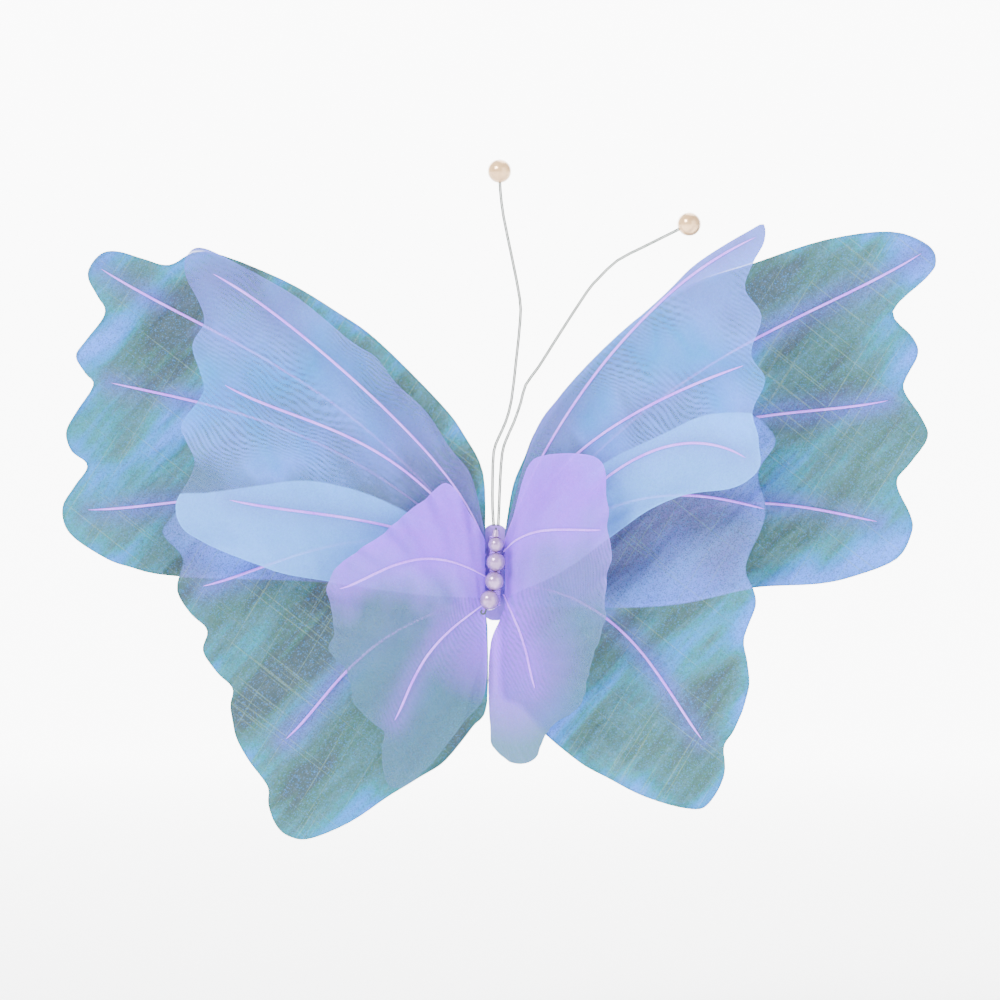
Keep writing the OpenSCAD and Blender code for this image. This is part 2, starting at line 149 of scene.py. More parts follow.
class Shader:
    """One procedural material with its node tree and its Principled shader."""

    def __init__(self, name: str) -> None:
        """Makes an empty material.

        Args:
            name: The material's name.
        """
        self.material = bpy.data.materials.new(name)
        self.material.use_nodes = True
        self.tree = self.material.node_tree
        self.tree.nodes.clear()
        self.principled = self.tree.nodes.new("ShaderNodeBsdfPrincipled")
        output = self.tree.nodes.new("ShaderNodeOutputMaterial")
        self.tree.links.new(self.principled.outputs[0], output.inputs["Surface"])

    def node(self, kind: str, settings: dict[str, Any] | None = None,
             inputs: dict[Any, Any] | None = None, out: Any = 0) -> Val:
        """Adds one node.

        Args:
            kind: The node's type.
            settings: Its properties, set before its sockets.
            inputs: Values or links for its sockets, by name or number.
            out: The output that is returned.

        Returns:
            The chosen output.
        """
        made = self.tree.nodes.new(kind)
        for key, value in (settings or {}).items():
            setattr(made, key, value)
        for key, value in (inputs or {}).items():
            self._feed(made.inputs[key], value)
        return Val(self, made.outputs[out])

    def _feed(self, socket: Any, value: Any) -> None:
        """Links a value to a socket, or sets it there.

        Args:
            socket: The input socket.
            value: A shader value, a colour or a number.
        """
        if isinstance(value, Val):
            self.tree.links.new(value.socket, socket)
        elif isinstance(value, tuple) and len(value) == 3 and socket.type == "RGBA":
            socket.default_value = (*value, 1.0)
        else:
            socket.default_value = value

    def set(self, **values: Any) -> None:
        """Sets or links the Principled shader's sockets, with underscores for spaces in their names."""
        for key, value in values.items():
            self._feed(self.principled.inputs[key.replace("_", " ")], value)

    def mix(self, factor: Any, a: Any, b: Any, blend: str = "MIX") -> Val:
        """Mixes two colours.

        Args:
            factor: How much of b.
            a: The first colour.
            b: The second colour.
            blend: The way of mixing.

        Returns:
            The mixed colour.
        """
        return self.node(
            "ShaderNodeMix", {"data_type": "RGBA", "blend_type": blend},
            {"Factor": factor, 6: a, 7: b}, 2)

    def place(self) -> Val:
        """Object coordinates, in metres."""
        return self.node("ShaderNodeTexCoord", out="Object")

    def cloth_place(self) -> Val:
        """The place on the flat cloth, in metres."""
        return self.node("ShaderNodeUVMap", {"uv_map": "cloth"})

    def attribute(self, name: str) -> Val:
        """A number that is stored on the mesh."""
        return self.node("ShaderNodeAttribute", {"attribute_name": name}, out="Fac")

    def turned(self, vector: Val, turn: float, scale: Triple) -> Val:
        """Turns a place about Z, then scales it along the turned axes.

        Args:
            vector: The place.
            turn: The turn in degrees.
            scale: The scale along each turned axis.

        Returns:
            The turned place.
        """
        size = tuple(1 / s for s in scale)
        return self.node(
            "ShaderNodeMapping", {"vector_type": "TEXTURE"},
            {"Vector": vector, "Rotation": (0.0, 0.0, math.radians(turn)), "Scale": size})

    def ramp(self, value: Val, *stops: Stop) -> Any:
        """Mixes from tone to tone as a value rises through the stops.

        Args:
            value: The value that rises.
            stops: Each tone with the value at which it is reached.

        Returns:
            The mixed colour.
        """
        color: Any = stops[0][1].value
        for (low, _), (high, tone) in zip(stops, stops[1:]):
            color = self.mix(value.step(low, high), color, tone.value)
        return color

    def lines(self, vector: Val, turn: float, period: float, sway: float) -> Val:
        """Fine parallel lines from 0 to 1 that sway with a slow noise.

        The height is the sine of the way across the lines, to which sway times the noise is added.

        Args:
            vector: The place.
            turn: The turn of the lines in degrees.
            period: The distance from line to line, in metres.
            sway: How far the noise moves the lines, in metres.

        Returns:
            The height of the lines.
        """
        across = self.node("ShaderNodeSeparateXYZ", None, {0: self.turned(vector, turn, (1.0, 1.0, 1.0))})
        way = across + sway * self.noise(vector, 22.0, 1.0)
        return self._half_sine(way * (2 * math.pi / period))

    def _half_sine(self, phase: Val) -> Val:
        """The sine of a phase, moved into 0 to 1."""
        return self.node("ShaderNodeMath", {"operation": "SINE"}, {0: phase}) * 0.5 + 0.5

    def noise(self, vector: Val, scale: float, detail: float = 2.0, rough: float = 0.5) -> Val:
        """Noise from 0 to 1.

        Args:
            vector: The place.
            scale: How many clouds there are to a metre.
            detail: How many finer layers are added.
            rough: How strong the finer layers are.

        Returns:
            The noise.
        """
        return self.node(
            "ShaderNodeTexNoise", None,
            {"Vector": vector, "Scale": scale, "Detail": detail, "Roughness": rough})

    def grains(self, vector: Val, scale: float) -> Val:
        """One random number for each small cell."""
        cells = self.node("ShaderNodeTexVoronoi", None, {"Vector": vector, "Scale": scale}, "Color")
        return self.node("ShaderNodeSeparateColor", None, {"Color": cells})

    def bump(self, height: Val, depth: float, strength: float = 1.0) -> None:
        """Feeds the Normal from a height.

        Args:
            height: The height, as a share of the depth.
            depth: The height that 1 stands for, in metres.
            strength: How much of the bump is seen.
        """
        normal = self.node(
            "ShaderNodeBump", None, {"Height": height, "Distance": depth, "Strength": strength})
        self.set(Normal=normal)


# -------------------------------------------------------------------- finishes


class Tone(Enum):
    """Colours of the cloths, as linear red, green and blue."""

    LOW_GREEN = (0.032, 0.052, 0.062)
    GREEN = (0.030, 0.088, 0.074)
    TEAL = (0.036, 0.112, 0.132)
    CYAN = (0.012, 0.160, 0.205)
    CYAN_BLUE = (0.008, 0.165, 0.470)
    SKY = (0.050, 0.169, 0.727)
    VIOLET_BLUE = (0.060, 0.070, 0.400)
    # The pale straw of the painted fibre glints.
    STRAW = (0.150, 0.254, 0.170)
    LAVENDER_GREY = (0.095, 0.090, 0.280)
    BRIGHT_LAVENDER = (0.110, 0.200, 0.980)
    MID_GREY = (0.060, 0.120, 0.260)
    MID_LAVENDER = (0.085, 0.075, 0.330)
    MID_PALE = (0.090, 0.225, 0.840)
    MID_CYAN = (0.008, 0.224, 0.705)
    MID_LOW = (0.100, 0.380, 0.990)
    FRONT_PINK = (0.260, 0.042, 0.880)
    FRONT_TOP = (0.200, 0.124, 0.990)
    FRONT_PALE = (0.165, 0.120, 0.600)
    FRONT_TEAL = (0.060, 0.125, 0.235)
    FRONT_BLUE = (0.042, 0.120, 0.190)
    RIB = (0.400, 0.080, 0.950)
    RIB_PALE = (0.480, 0.187, 0.990)


@dataclass(frozen=True)
class TealOrganza:
    """Iridescent organza: green, cyan and violet zones with glitter, soft folds and pale streaks; the folds
    carry painted shade and painted highlights, and the glitter and streaks carry painted glints.
    """

    name: str
    cover: float
    drift: float

    def make(self) -> bpy.types.Material:
        """Builds the material.

        Returns:
            The material.
        """
        sh = Shader(self.name)
        place = sh.cloth_place()
        rib, rim = sh.attribute("rib"), sh.attribute("rim")
        wide = sh.noise(place, 9.0, 2.0)
        folds = sh.noise(sh.turned(place, 42.0, (0.35, 1.6, 1.0)), 26.0, 3.0)
        brushed = sh.noise(sh.turned(place, 50.0, (0.25, 4.0, 1.0)), 60.0, 3.0)
        # Painted fold shade and highlight: the folds term gives dark green in the fold troughs and pale sky
        # on the raised crests. The wide and brushed clouds are the cloth's own tone.
        tone_and_fold_shade = wide * 0.38 + folds * 0.50 + brushed * 0.12
        zone = (tone_and_fold_shade - 0.5) * 1.5 + sh.attribute("tip") * wide * 0.24 + 0.475 + self.drift
        color = sh.ramp(
            zone, (0.38, Tone.LOW_GREEN), (0.44, Tone.GREEN), (0.49, Tone.TEAL), (0.54, Tone.CYAN),
            (0.61, Tone.CYAN_BLUE), (0.70, Tone.SKY))
        color = sh.mix(rib * folds.step(0.30, 0.55) * 0.85, color, Tone.VIOLET_BLUE.value)
        overlap = sh.mix(wide.step(0.42, 0.58), Tone.LAVENDER_GREY.value, Tone.BRIGHT_LAVENDER.value)
        color = sh.mix(sh.attribute("near_depth").step(-0.4, 0.4) * 0.75, color, overlap)
        # Painted fibre glints: pale straw streaks that slant two ways across the cloth.
        glint_streaks = [sh.noise(sh.turned(place, turn, (0.35, 30.0, 1.0)), 26.0, 0.0).step(0.70, 0.77)
                   for turn in (58.0, -38.0)]
        glint_streak = (glint_streaks[0] + glint_streaks[1]).clamp()
        color = sh.mix(glint_streak * 0.30, color, Tone.STRAW.value)
        color = self.glitter_and_glints(sh, place, color)
        color = sh.mix(rim * 0.5, color, Tone.GREEN.value)
        grain = sh.grains(place, 1500.0)
        under = sh.attribute("any_depth").step(1.0, 3.0)
        alpha = 0.99 - (1 - self.cover) * under + 0.01 * grain + 0.1 * rim
        sh.set(Base_Color=color, Alpha=alpha.clamp())
        sh.set(Roughness=0.42 + 0.25 * grain, Specular_IOR_Level=0.16)
        sh.set(Specular_Tint=(0.2, 0.75, 1.0))
        sh.bump(folds * 3.6 + brushed * 0.15 + grain * 0.07, 0.0032, 0.9)
        return sh.material

    def glitter_and_glints(self, sh: Shader, place: Val, color: Val) -> Val:
        """Lays fine grains over a colour: each small cell is darker, or a bright cyan, blue or green; the
        bright cells are painted glints.

        Args:
            sh: The shader.
            place: The place on the flat cloth.
            color: The colour under the grains.

        Returns:
            The colour with its grains.
        """
        tint = sh.node("ShaderNodeTexVoronoi", None, {"Vector": place, "Scale": 2100.0}, "Color")
        grain = sh.grains(place, 2100.0)
        color = sh.mix(0.55, color, sh.mix(0.85, tint, (0.5, 0.5, 0.5)), "OVERLAY")
        dark = sh.mix(grain.step(0.45, 0.0) * 0.65, color, Tone.LOW_GREEN.value)
        # Painted glints: the brightest cells turn a bright cyan blue.
        return sh.mix(grain.step(0.78, 1.0) * 0.50, dark, Tone.CYAN_BLUE.value)


class Scheme(Enum):
    """The zones of the sheer cloths, as stops that rise from the lower edge to the upper one."""

    MID = ((0.34, Tone.MID_GREY), (0.46, Tone.MID_PALE), (0.60, Tone.MID_CYAN), (0.74, Tone.MID_PALE),
           (1.05, Tone.MID_LAVENDER))
    FRONT = ((0.28, Tone.FRONT_BLUE), (0.46, Tone.FRONT_TEAL), (0.62, Tone.FRONT_PALE),
             (0.80, Tone.FRONT_PINK), (1.0, Tone.FRONT_TOP))


@dataclass(frozen=True)
class SheerOrganza:
    """Sheer organza: zones that change with height, a stronger root, fine lines and a watered look."""

    name: str
    scheme: Scheme
    root: Tone
    overlap: Tone
    lighter: float
    cover: float
    watered: float
    turn: float
    drift: float = 0.0

    def make(self) -> bpy.types.Material:
        """Builds the material.

        Returns:
            The material.
        """
        sh = Shader(self.name)
        place = sh.cloth_place()
        rib, rim = sh.attribute("rib"), sh.attribute("rim")
        backed = sh.attribute("near_depth").step(-0.4, 0.4)
        under = sh.attribute("any_depth").step(1.0, 3.0)
        wide = sh.noise(place, 13.0, 2.0)
        folds = sh.noise(sh.turned(place, self.turn + 60.0, (0.4, 1.5, 1.0)), 30.0, 2.0)
        zone = sh.attribute("high") + (wide - 0.5) * 0.5 + (folds - 0.5) * 0.4 + self.drift
        color = sh.ramp(zone, *self.scheme.value)
        near_root = (1.0 - sh.attribute("reach") * 2.6 + (wide - 0.5) * 0.6).clamp()
        color = sh.mix(near_root * 0.85, color, self.root.value)
        lead = sh.attribute("sweep") + (wide - 0.5) * 0.5
        color = sh.mix(lead.step(0.74, 0.98) * 0.8, color, self.root.value)
        color = sh.mix(backed * self.lighter, color, self.overlap.value)
        color = sh.mix(rib * 0.35, color, self.root.value)
        lines = sh.lines(place, self.turn, 0.0023, 0.030)
        cross = sh.lines(place, self.turn + 24.0, 0.0031, 0.045)
        swell = sh.noise(place, 21.0, 1.0).step(0.40, 0.56) * (1.0 - backed)
        water = (lines * 0.65 + cross * 0.35).step(0.30, 0.85) * swell * self.watered
        color = sh.mix(water * 0.80, color, Tone.MID_GREY.value)
        tint = sh.node("ShaderNodeTexVoronoi", None, {"Vector": place, "Scale": 1900.0}, "Color")
        color = sh.mix(0.42, color, sh.mix(0.7, tint, (0.5, 0.5, 0.5)), "OVERLAY")
        grain = sh.grains(place, 1250.0)
        sheer = self.cover + 0.08 * grain + 0.10 * backed - 0.10 * water + 0.15 * rim + 0.06 * rib
        alpha = 0.99 - (0.99 - sheer) * under
        sh.set(Base_Color=color, Alpha=alpha.clamp(), Roughness=0.5 + 0.2 * grain)
        sh.set(Specular_IOR_Level=0.2, Specular_Tint=(0.6, 0.6, 1.0))
        sh.set(Sheen_Weight=0.10, Sheen_Tint=(0.6, 0.55, 1.0))
        sh.bump(folds * 2.0 + water * 0.12 + grain * 0.05, 0.0022, 0.7)
        return sh.material


@dataclass(frozen=True)
class CasedWire:
    """Pale casing over a rib's wire, with soft clouds of colour and a fine weave."""

    name: str

    def make(self) -> bpy.types.Material:
        """Builds the material.

        Returns:
            The material.
        """
        sh = Shader(self.name)
        place = sh.place()
        cloud = sh.noise(place, 60.0, 2.0)
        weave = sh.noise(place, 1600.0, 1.0)
        color = sh.mix(cloud.step(0.35, 0.65), Tone.RIB.value, Tone.RIB_PALE.value)
        color = sh.mix(weave.step(0.4, 0.7) * 0.25, color, (0.70, 0.50, 1.0))
        sh.set(Base_Color=color, Roughness=0.45 + 0.2 * weave, Alpha=0.82 + 0.1 * weave)
        sh.set(Specular_IOR_Level=0.3, Specular_Tint=(0.8, 0.7, 1.0))
        sh.bump(weave, 0.0001, 0.5)
        return sh.material


@dataclass(frozen=True)
class Pearl:
    """Pearl lustre: a body colour that deepens in clouds, with painted shade that deepens it towards the
    outline, under a clear coat.
    """

    name: str
    body: Triple
    deep_tone_and_edge_shade: Triple

    def make(self) -> bpy.types.Material:
        """Builds the material.

        Returns:
            The material.
        """
        sh = Shader(self.name)
        place = sh.place()
        cloud = sh.noise(place, 140.0, 3.0)
        facing = sh.node("ShaderNodeLayerWeight", None, {"Blend": 0.35}, "Facing")
        color = sh.mix(cloud.step(0.35, 0.65) * 0.5, self.body, self.deep_tone_and_edge_shade)
        # Painted shade: the colour deepens towards the pearl's outline, where the surface turns away from the
        # camera.
        color = sh.mix(facing.step(0.25, 0.9) * 0.85, color, self.deep_tone_and_edge_shade)
        fine = sh.noise(place, 2500.0, 1.0)
        sh.set(Base_Color=color, Roughness=0.16 + 0.12 * cloud, Metallic=0.35)
        sh.set(Coat_Weight=0.7, Coat_Roughness=0.12, Specular_IOR_Level=0.7)
        sh.bump(fine, 0.00003, 0.3)
        return sh.material


@dataclass(frozen=True)
class DrawnMetal:
    """Drawn or plated metal with fine marks and small dull spots."""

    name: str
    color: Triple
    dull: Triple
    roughness: float
    metallic: float = 0.85

    def make(self) -> bpy.types.Material:
        """Builds the material.

        Returns:
            The material.
        """
        sh = Shader(self.name)
        place = sh.place()
        spots = sh.noise(place, 420.0, 3.0)
        marks = sh.noise(sh.turned(place, 0.0, (8.0, 8.0, 1.0)), 900.0, 2.0)
        color = sh.mix(spots.step(0.45, 0.7), self.color, self.dull)
        sh.set(Base_Color=color, Roughness=self.roughness + 0.18 * marks, Metallic=self.metallic)
        sh.bump(marks, 0.00003, 0.4)
        return sh.material


@dataclass(frozen=True)
class Felt:
    """Pressed felt: short crossing fibres and soft clouds of colour."""

    name: str
    color: Triple
    light: Triple

    def make(self) -> bpy.types.Material:
        """Builds the material.

        Returns:
            The material.
        """
        sh = Shader(self.name)
        place = sh.place()
        fibre_a = sh.noise(sh.turned(place, 30.0, (1.0, 6.0, 3.0)), 500.0, 2.0)
        fibre_b = sh.noise(sh.turned(place, -50.0, (6.0, 1.0, 2.0)), 450.0, 2.0)
        cloud = sh.noise(place, 90.0, 2.0)
        fibres = (fibre_a + fibre_b) * 0.5
        color = sh.mix((fibres + cloud * 0.4 - 0.2).clamp(), self.color, self.light)
        sh.set(Base_Color=color, Roughness=0.92)
        sh.set(Sheen_Weight=0.6, Sheen_Roughness=0.6)
        sh.bump(fibres, 0.0004, 0.9)
        return sh.material


@dataclass(frozen=True)
class StudioPaper:
    """Plain pale paper for the sweep behind and under the object, with a glow that grows to the back."""

    name: str
    color: Triple
    far: float
    near: float = 0.2
    near_glow: float = 0.22
    glow: float = 7.5

    def make(self) -> bpy.types.Material:
        """Builds the material.

        Returns:
            The material.
        """
        sh = Shader(self.name)
        away = sh.node("ShaderNodeSeparateXYZ", None, {0: sh.place()}, "Y")
        glow = sh.mix(away.step(self.near, self.far), (self.near_glow,) * 3, (1.0, 1.0, 1.0))
        sh.set(Base_Color=self.color, Roughness=0.95, Specular_IOR_Level=0.1)
        sh.set(Emission_Color=glow, Emission_Strength=self.glow)
        return sh.material


# ---------------------------------------------------------------- mesh helpers


def make_mesh(name: str, points: Array, *groups: Faces) -> bpy.types.Object:
    """Puts arrays of points and faces in a new smooth object at the origin.

    Args:
        name: The object's name.
        points: Rows of x, y and z.
        groups: Rows of corner numbers, all of one length within a group.

    Returns:
        The linked object.
    """
    mesh = bpy.data.meshes.new(name)
    corners = np.concatenate([faces.ravel() for faces in groups])
    counts = np.concatenate([np.full(len(faces), faces.shape[1]) for faces in groups])
    mesh.vertices.add(len(points))
    mesh.vertices.foreach_set("co", points.astype(np.float32).ravel())
    mesh.loops.add(len(corners))
    mesh.loops.foreach_set("vertex_index", corners.astype(np.int32))
    mesh.polygons.add(len(counts))
    mesh.polygons.foreach_set("loop_start", (np.cumsum(counts) - counts).astype(np.int32))
    mesh.polygons.foreach_set("use_smooth", np.ones(len(counts), bool))
    mesh.update(calc_edges=True)
    mesh.validate()
    obj = bpy.data.objects.new(name, mesh)
    bpy.context.scene.collection.objects.link(obj)
    return obj


def grid_faces(rows: int, columns: int, wrap: bool) -> Faces:
    """Quads of a grid whose points are numbered row by row.

    Args:
        rows: The number of rows.
        columns: The number of points in a row.
        wrap: Whether each row closes on itself.

    Returns:
        Rows of four corner numbers.
    """
    across = columns if wrap else columns - 1
    i, j = np.meshgrid(np.arange(rows - 1), np.arange(across), indexing="ij")
    k = (j + 1) % columns
    quads = np.stack([i * columns + j, i * columns + k, (i + 1) * columns + k, (i + 1) * columns + j], -1)
    return quads.reshape(-1, 4)


def unit_rows(v: Array) -> Array:
    """Each row scaled to length 1."""
    return v / np.maximum(np.linalg.norm(v, axis=-1, keepdims=True), 1e-12)


def length_along(line: Array) -> Array:
    """The distance along a line of points from its start to each point."""
    return np.concatenate([[0], np.cumsum(np.linalg.norm(np.diff(line, axis=0), axis=1))])


def easy_line(points: Array, at: Array) -> Array:
    """A smooth line through the points: each coordinate is a quartic of the share of the length.

    Args:
        points: The points that the line follows.
        at: Shares of the length.

    Returns:
        The line's places at those shares.
    """
    length = length_along(points)
    share = length / length[-1]
    fits = [np.polynomial.Polynomial.fit(share, points[:, k], 4) for k in range(points.shape[1])]
    return np.stack([fit(at) for fit in fits], -1)


def line_distance(x: Array, z: Array, line: Array) -> Array:
    """The distance from each place to the nearest point of a line of short straight pieces.

    Args:
        x: The places' x.
        z: The places' z.
        line: Rows of x and z.

    Returns:
        The distances.
    """
    a, d = line[:-1], np.diff(line, axis=0)
    px, pz = x[..., None] - a[:, 0], z[..., None] - a[:, 1]
    t = np.clip((px * d[:, 0] + pz * d[:, 1]) / np.maximum((d ** 2).sum(1), 1e-14), 0, 1)
    return np.hypot(px - t * d[:, 0], pz - t * d[:, 1]).min(-1)


def even_line(line: Array, count: int) -> Array:
    """The same line read at places evenly spaced along its length.

    Args:
        line: Rows of coordinates.
        count: The number of places.

    Returns:
        The places.
    """
    length = length_along(line)
    at = np.linspace(0, length[-1], count)
    return np.stack([np.interp(at, length, line[:, k]) for k in range(line.shape[1])], -1)


def tube(name: str, path: Array, radius: Array, up: Array, flat: float, sides: int) -> bpy.types.Object:
    """A closed tube: rings of an ellipse carried along a path, with a fan over each end.

    Args:
        name: The object's name.
        path: The centre line.
        radius: Half the tube's width at each place.
        up: The direction of each ring's short side.
        flat: The height as a share of the width.
        sides: Points on a ring.

    Returns:
        The object.
    """
    along = unit_rows(np.gradient(path, axis=0))
    across = unit_rows(np.cross(along, up))
    out = np.cross(across, along)
    angle = np.linspace(0, 2 * np.pi, sides, endpoint=False)[None, :, None]
    rings = path[:, None] + radius[:, None, None] * (
        np.cos(angle) * across[:, None] + flat * np.sin(angle) * out[:, None])
    points = np.vstack([rings.reshape(-1, 3), path[:1], path[-1:]])
    n = np.arange(sides)
    last, hub = (len(path) - 1) * sides, len(path) * sides
    near = np.stack([n, np.full(sides, hub), (n + 1) % sides], -1)
    far = np.stack([last + n, last + (n + 1) % sides, np.full(sides, hub + 1)], -1)
    obj = make_mesh(name, points, grid_faces(len(path), sides, True), near, far)
    face_outwards(obj)
    return obj


def lathe(name: str, profile: Array, centre: Array, axis: Array, sides: int = 64) -> bpy.types.Object:
    """A closed shape turned about an axis: rings of the profile's radius at the profile's height.

    Args:
        name: The object's name.
        profile: Rows of radius and height along the axis, from one end round to the same end.
        centre: The place that height 0 stands on.
        axis: The turning axis.
        sides: Points on a ring.

    Returns:
        The object.
    """
    axis = unit_rows(axis)
    side = unit_rows(np.cross(axis, np.array([0.0, 1.0, 0.0])))
    front = np.cross(side, axis)
    angle = np.linspace(0, 2 * np.pi, sides, endpoint=False)[None, :, None]
    radius, height = profile[:, :1, None], profile[:, 1:, None]
    points = centre + radius * (np.cos(angle) * side + np.sin(angle) * front) + height * axis
    points = points.reshape(-1, 3)
    obj = make_mesh(name, points, grid_faces(len(profile) + 1, sides, True) % len(points))
    face_outwards(obj)
    return obj


def mesh_points(obj: bpy.types.Object) -> Array:
    """The mesh's points as rows.

    Args:
        obj: The object.

    Returns:
        Rows of x, y and z.
    """
    points = np.empty(len(obj.data.vertices) * 3, np.float32)
    obj.data.vertices.foreach_get("co", points)
    return points.reshape(-1, 3).astype(np.float64)


def mesh_triangles(obj: bpy.types.Object) -> Array:
    """The corners of the mesh's triangles.

    Args:
        obj: The object.

    Returns:
        Three rows of x, y and z for each triangle.
    """
    obj.data.calc_loop_triangles()
    corners = np.empty(len(obj.data.loop_triangles) * 3, np.int32)
    obj.data.loop_triangles.foreach_get("vertices", corners)
    return mesh_points(obj)[corners.reshape(-1, 3)]


def face_outwards(obj: bpy.types.Object) -> None:
    """Turns all faces outwards on a closed mesh, by the sign of its volume.

    Args:
        obj: The object.
    """
    corners = mesh_triangles(obj)
    if (corners[:, 0] * np.cross(corners[:, 1], corners[:, 2])).sum() < 0:
        obj.data.flip_normals()


def node_points(node: str) -> Array:
    """The places of a frame node's corners, each once."""
    return np.unique(np.round(mesh_points(frame["nodes"][node]), 7), axis=0)


def box_middle(node: str) -> Array:
    """The middle of a frame node's box."""
    low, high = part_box(node)
    return (np.array(low) + np.array(high)) / 2


def dress(obj: bpy.types.Object, material: bpy.types.Material) -> None:
    """Gives an object one material in all its slots.

    Args:
        obj: The object.
        material: The material.
    """
    if obj.data.materials:
        for index in range(len(obj.data.materials)):
            obj.data.materials[index] = material
    else:
        obj.data.materials.append(material)


def declare(obj: bpy.types.Object, material: bpy.types.Material, body: str, node: str) -> None:
    """Dresses a piece, hangs it on the body that carries it and hides the frame node that it replaces.

    Args:
        obj: The piece.
        material: Its material.
        body: The body that it rides on.
        node: The frame's node that it replaces.
    """
    dress(obj, material)
    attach(obj, body)
    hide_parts(node)


def store(obj: bpy.types.Object, name: str, values: Array) -> None:
    """Stores one number for each point of the mesh."""
    layer = obj.data.attributes.new(name, "FLOAT", "POINT")
    layer.data.foreach_set("value", values.astype(np.float32).ravel())


# ------------------------------------------------------------------------ wings


class Layer(Enum):
    """The wings' layers, from the costume to the front."""

    BACK = "back_forewing"
    HIND = "hindwing"
    MID = "mid_forewing"
    FRONT = "front_wing"


class Side(Enum):
    """The two sides of the wings."""

    LEFT = "left"
    RIGHT = "right"


@dataclass
class WingOutline:
    """A wing's outline and curve, read from its node in the frame."""

    node: str
    lap: float
    lap_top: float = -20 * MM
    lap_ease: float = 4 * MM
    widest_x: float = 240 * MM

    def __post_init__(self) -> None:
        """Reads the cloth's front face and fits the curve of the cloth."""
        node = frame["nodes"][self.node]
        points, triangles = mesh_points(node), mesh_triangles(node)
        normals = np.cross(triangles[:, 1] - triangles[:, 0], triangles[:, 2] - triangles[:, 0])
        ahead = unit_rows(normals)[:, 1] < -0.5
        self.sign = 1.0 if points[:, 0].mean() > 0 else -1.0
        self.curve = np.polynomial.Polynomial.fit(points[:, 0], points[:, 1], 5)
        self.loop = self.chain(triangles[ahead])
        line_x = abs(self.hinge()[0])
        at_root = self.loop[np.abs(self.loop[:, 0] * self.sign - line_x) < 1.2 * MM]
        self.root = np.array([self.sign * line_x, at_root[:, 1].mean()])
        self.close_gap(line_x)
        self.pole = self.widest_view()

    def close_gap(self, line_x: float) -> None:
        """Moves the inner edge below the binding towards the middle, by the lap, with an easy start.

        Args:
            line_x: How far the bending line stands from the middle.
        """
        x, z = self.loop[:, 0] * self.sign, self.loop[:, 1]
        below = np.clip((self.lap_top - z) / self.lap_ease, 0, 1)
        inner = np.clip((line_x + 5 * MM - x) / self.lap_ease, 0, 1)
        self.loop[:, 0] -= self.sign * self.lap * below * inner

    def chain(self, triangles: Array) -> Array:
        """The outline as a closed line.

        An edge that only one triangle has lies on the outline. Each end of such an edge starts
        the next one, so the edges are walked until the first place comes back.

        Args:
            triangles: The corners of the front face's triangles.

        Returns:
            Rows of x and z, the first one repeated at the end.
        """
        places, index = np.unique(np.round(triangles.reshape(-1, 3), 6), axis=0, return_inverse=True)
        index = index.reshape(-1, 3)
        pairs = np.sort(np.vstack([index[:, [0, 1]], index[:, [1, 2]], index[:, [2, 0]]]), axis=1)
        edges, uses = np.unique(pairs, axis=0, return_counts=True)
        links: dict[int, list[int]] = {}
        for a, b in edges[uses == 1].tolist():
            links.setdefault(a, []).append(b)
            links.setdefault(b, []).append(a)
        start = next(iter(links))
        walk = [start, links[start][0]]
        while walk[-1] != start and len(walk) <= len(links):
            walk.append(next(n for n in links[walk[-1]] if n != walk[-2]))
        return places[walk][:, [0, 2]]

    def widest_view(self) -> Array:
        """The place near the root that sees the whole outline by the widest margin.

        A place sees all of a closed line if it lies on the inner side of each edge. The place with
        the largest distance to its nearest edge line is taken.

        Returns:
            Its x and z.
        """
        x, z = np.meshgrid(np.linspace(3, 60, 58) * MM * self.sign, np.linspace(-50, 60, 111) * MM)
        edge = np.diff(self.loop, axis=0)
        turning = np.sign(np.sum(self.loop[:-1, 0] * edge[:, 1] - self.loop[:-1, 1] * edge[:, 0]))
        ax = x[..., None] - self.loop[:-1, 0]
        az = z[..., None] - self.loop[:-1, 1]
        inner = turning * (edge[:, 0] * az - edge[:, 1] * ax) / np.linalg.norm(edge, axis=1)
        best = inner.min(-1).argmax()
        LOG.info("%s: the outline is in sight by %.2f mm", self.node, inner.min(-1).max() / MM)
        return np.array([x.ravel()[best], z.ravel()[best]])

    def hinge(self) -> Array:
        """The place of the wing's bending line.

        Returns:
            Its x, y and z.
        """
        joints = {j["child"]: j for j in frame["record"]["behaviour"]["joints"]}
        return np.array(joints[self.node]["pos_m"])

    def height(self, x: Array) -> Array:
        """The y of the cloth's middle at x."""
        return self.curve(x)

    def front(self, x: Array) -> Array:
        """The cloth's own forward direction.

        Args:
            x: Where it is wanted.

        Returns:
            A row of length 1 for each place.
        """
        slope = self.curve.deriv()(x)
        return unit_rows(np.stack([slope, -np.ones_like(slope), np.zeros_like(slope)], -1))

    def flat_x(self, x: Array) -> Array:
        """The distance along the flat cloth from x 0, by adding up the curve's length.

        Args:
            x: Where it is wanted.

        Returns:
            The distances.
        """
        ticks = np.linspace(-self.widest_x, self.widest_x, 481)
        length = np.sqrt(1 + self.curve.deriv()(ticks) ** 2)
        run = np.concatenate([[0], np.cumsum((length[1:] + length[:-1]) / 2 * np.diff(ticks))])
        return np.interp(x, ticks, run - run[len(ticks) // 2])

    def flat_size(self) -> tuple[float, float, float]:
        """The size of the flat cut.

        Returns:
            Its width, length and area.
        """
        u, z = self.flat_x(self.loop[:, 0]), self.loop[:, 1]
        area = abs(float(np.sum(u[:-1] * z[1:] - u[1:] * z[:-1]) / 2))
        return float(np.ptp(u)), float(np.ptp(z)), area

